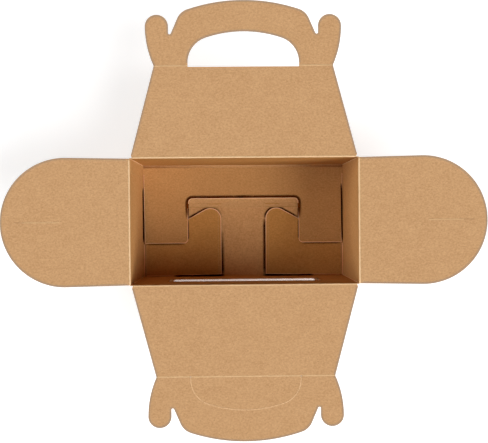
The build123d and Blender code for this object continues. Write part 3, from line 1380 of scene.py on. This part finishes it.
@dataclass
class EarSlits:
    """Lips that close the slits of the end flaps to a hairline, in millimetres."""

    hairline: float = 0.005
    least_width: float = 0.06
    thickness: float = 0.5
    step: float = 1.5
    end_steps: int = 6
    kept: float = 0.1

    def lip(self, side: float, hand: float) -> bmesh.types.BMesh:
        """Makes one lip of a slit, closer rows filling the slit's round ends.

        Args:
            side: -1 for the left flap and 1 for the right.
            hand: -1 for the front lip and 1 for the back.

        Returns:
            The mesh.
        """
        radius, half = PLAN.slit_width / 2, self.thickness / 2
        start, end = PLAN.slit_start, PLAN.slit_end
        straight = end - start - 2 * radius
        count = round(straight / self.step)
        turns = [pi / 2 * index / self.end_steps for index in range(self.end_steps)]
        arc = [radius * (1 - cos(turn)) for turn in turns]
        spots = [start + out for out in arc]
        spots += [start + radius + straight * index / count for index in range(count + 1)]
        spots += [end - out for out in reversed(arc)]
        rows = []
        for at in spots:
            over = max(0.0, start + radius - at, at - (end - radius))
            wide = max(self.least_width, (radius**2 - min(over, radius) ** 2) ** 0.5)
            inner, outer = hand * min(self.hairline / 2, wide / 2), hand * wide
            x = side * (PLAN.fold_x + at)
            corners = ((inner, -half), (outer, -half), (outer, half), (inner, half))
            rows.append([Vector((x, y, PLAN.rim + up)) for y, up in corners])
        return swept(rows)

    def build(self, bench: Bench) -> None:
        """Makes both lips of both slits, each on its end flap with a mesh of its own.

        Args:
            bench: The bench that places them.
        """
        material = bench.palette.board(LIP)
        for side in (Side.LEFT, Side.RIGHT):
            for number, hand in enumerate((-1.0, 1.0), 1):
                name, form = f"slit_lip_{side.word}_{number}", self.lip(side.value, hand)
                piece = bench.place(name, form, material, f"{side.word}_end")
                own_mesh(piece)


@dataclass
class FingerCut:
    """Lip of the finger flap that closes its D cut, with a faint burr, in millimetres.

    The faces are heights over the fold, and the insets lie inside the finger hole's edge.
    """

    height: float = 34.3
    side: float = 3.5
    arch_radius: float = 118.0
    outer_inset: float = 0.03
    inner_inset: float = 0.24
    burr_inset: float = 0.8
    low_face: float = -0.24
    flush_face: float = 0.22
    burr_face: float = 0.27
    start: float = 1.0
    corner_steps: int = 16
    arch_steps: int = 20

    def outline(self, inset: float) -> list[Point]:
        """Draws the D from one foot to the other, inset from the finger hole's edge.

        Args:
            inset: How far inside the edge.

        Returns:
            Points as distance along the ridge and out from it.
        """
        half = PLAN.finger_half
        rise = self.height - self.side
        spread = self.arch_radius - half
        corner = (2 * self.arch_radius * rise - rise**2 - half**2) / (2 * spread)
        corner_x = half - corner
        arch_y = self.height - self.arch_radius
        turn = atan2(self.side - arch_y, corner_x)
        uprights = (self.start, 0.5 * (self.start + self.side), self.side)
        path = [(half - inset, y) for y in uprights]
        for index in range(1, self.corner_steps + 1):
            at = turn * index / self.corner_steps
            reach = corner - inset
            path.append((corner_x + reach * cos(at), self.side + reach * sin(at)))
        for index in range(1, self.arch_steps + 1):
            at = turn + (pi / 2 - turn) * index / self.arch_steps
            reach = self.arch_radius - inset
            path.append((reach * cos(at), arch_y + reach * sin(at)))
        return path + [(-x, y) for x, y in reversed(path[:-1])]

    def build(self, bench: Bench) -> None:
        """Makes the lip, which turns with the finger flap.

        Args:
            bench: The bench that places it.
        """
        hinge = Hinge.FRONT_RIDGE
        low, flush, high = self.low_face, self.flush_face, self.burr_face
        insets = (self.outer_inset, self.inner_inset, self.burr_inset)
        rows = []
        for outer, inner, burr in zip(*(self.outline(inset) for inset in insets)):
            lower = ((inner, low), (outer, low), (outer, high))
            corners = (*lower, (burr, high), (burr, flush), (inner, flush))
            rows.append(
                [
                    hinge.origin + hinge.along * x + hinge.outward * y + Vector((0.0, 0.0, up))
                    for (x, y), up in corners
                ]
            )
        # The lip is painted pale, as a highlight along the D cut
        bench.place("finger_cut_lip", swept(rows), bench.palette.board(CUT_LIP), "finger_flap")


@dataclass(frozen=True)
class Softbox:
    """A large far lamp: its bearing from the front, height and spread in degrees, and level."""

    name: str
    bearing: float
    height: float
    spread: float
    level: float


@dataclass
class Studio:
    """Table, soft light and the camera at the photograph's angle.

    It is in metres and radians, apart from the lens and its sensor, which are in millimetres.
    """

    table_half: float = 6.0
    softboxes: tuple[Softbox, ...] = (
        Softbox("right_softbox", 57.0, 42.0, 48.0, 0.88),
        Softbox("left_softbox", 275.0, 31.0, 52.0, 0.61),
        Softbox("top_softbox", 20.0, 65.0, 55.0, 0.1),
    )
    camera_place: Place = (-0.01028, 0.00489, 0.8679)
    camera_turns: Place = (-0.0069, -0.0128, -0.0086)
    camera_near: float = 0.01
    lens: float = 55.87
    sensor: float = 36.0

    def lay_table(self, palette: Palette) -> None:
        """Lays a large pale table under the box.

        Args:
            palette: The palette that dresses it.
        """
        form = bmesh.new()
        bmesh.ops.create_grid(form, x_segments=4, y_segments=4, size=self.table_half)
        mesh = bpy.data.meshes.new("table")
        form.to_mesh(mesh)
        form.free()
        mesh.materials.append(palette.table(TABLE))
        table = bpy.data.objects.new("table", mesh)
        bpy.context.scene.collection.objects.link(table)
        log.info("table laid")

    def light(self) -> None:
        """Sets the softboxes, and a white room that only the camera and reflections see."""
        world = bpy.data.worlds.new("white_room")
        bpy.context.scene.world = world
        world.use_nodes = True
        world.node_tree.nodes.clear()
        wires = Wires(world.node_tree)
        room = wires.add("ShaderNodeBackground")
        white = wires.grade(seen_directly(wires), (0.0, 0.0, 0.0), (1.0, 1.0, 1.0))
        wires.feed(white, room.inputs["Color"])
        wires.feed(1.0, room.inputs["Strength"])
        wires.feed(room.outputs[0], wires.add("ShaderNodeOutputWorld").inputs["Surface"])
        for box in self.softboxes:
            lamp = bpy.data.lights.new(box.name, "SUN")
            lamp.angle = radians(box.spread)
            # A sun of pi lights a facing white surface to just white
            lamp.energy = pi * box.level
            holder = bpy.data.objects.new(box.name, lamp)
            bearing, height = radians(box.bearing), radians(box.height)
            level = Vector((-sin(bearing), cos(bearing), 0.0)) * cos(height)
            towards = level - Vector((0.0, 0.0, sin(height)))
            holder.rotation_euler = towards.to_track_quat("-Z", "Y").to_euler()
            bpy.context.scene.collection.objects.link(holder)
            log.info("%s set", box.name)

    def set_camera(self) -> None:
        """Hangs the camera over the open box, as the photograph was taken."""
        lens = bpy.data.cameras.new("camera")
        lens.lens = self.lens
        lens.sensor_width = self.sensor
        lens.clip_start = self.camera_near
        camera = bpy.data.objects.new("camera", lens)
        tip, lean, spin = self.camera_turns
        turn = Matrix.Rotation(spin, 4, "Z") @ Matrix.Rotation(tip, 4, "X")
        turn @= Matrix.Rotation(lean, 4, "Y")
        camera.matrix_world = Matrix.Translation(self.camera_place) @ turn
        bpy.context.scene.collection.objects.link(camera)
        bpy.context.scene.camera = camera
        bpy.context.scene.view_settings.view_transform = "Standard"
        log.info("camera hung")


def main() -> None:
    """Builds the scene piece by piece."""
    logging.basicConfig(level=logging.INFO, format="%(name)s: %(message)s")
    bench = Bench(Palette())
    FoldedSheet().build(bench)
    PressedFolds().build(bench)
    BottomEdges().build(bench)
    PanelCracks().build(bench)
    WallFolds().build(bench)
    WindowGlue().build(bench)
    EarSlits().build(bench)
    FingerCut().build(bench)
    studio = Studio()
    studio.lay_table(bench.palette)
    studio.light()
    studio.set_camera()
    log.info("%d pieces placed", len(bench.placed))


if __name__ == "__main__":
    main()
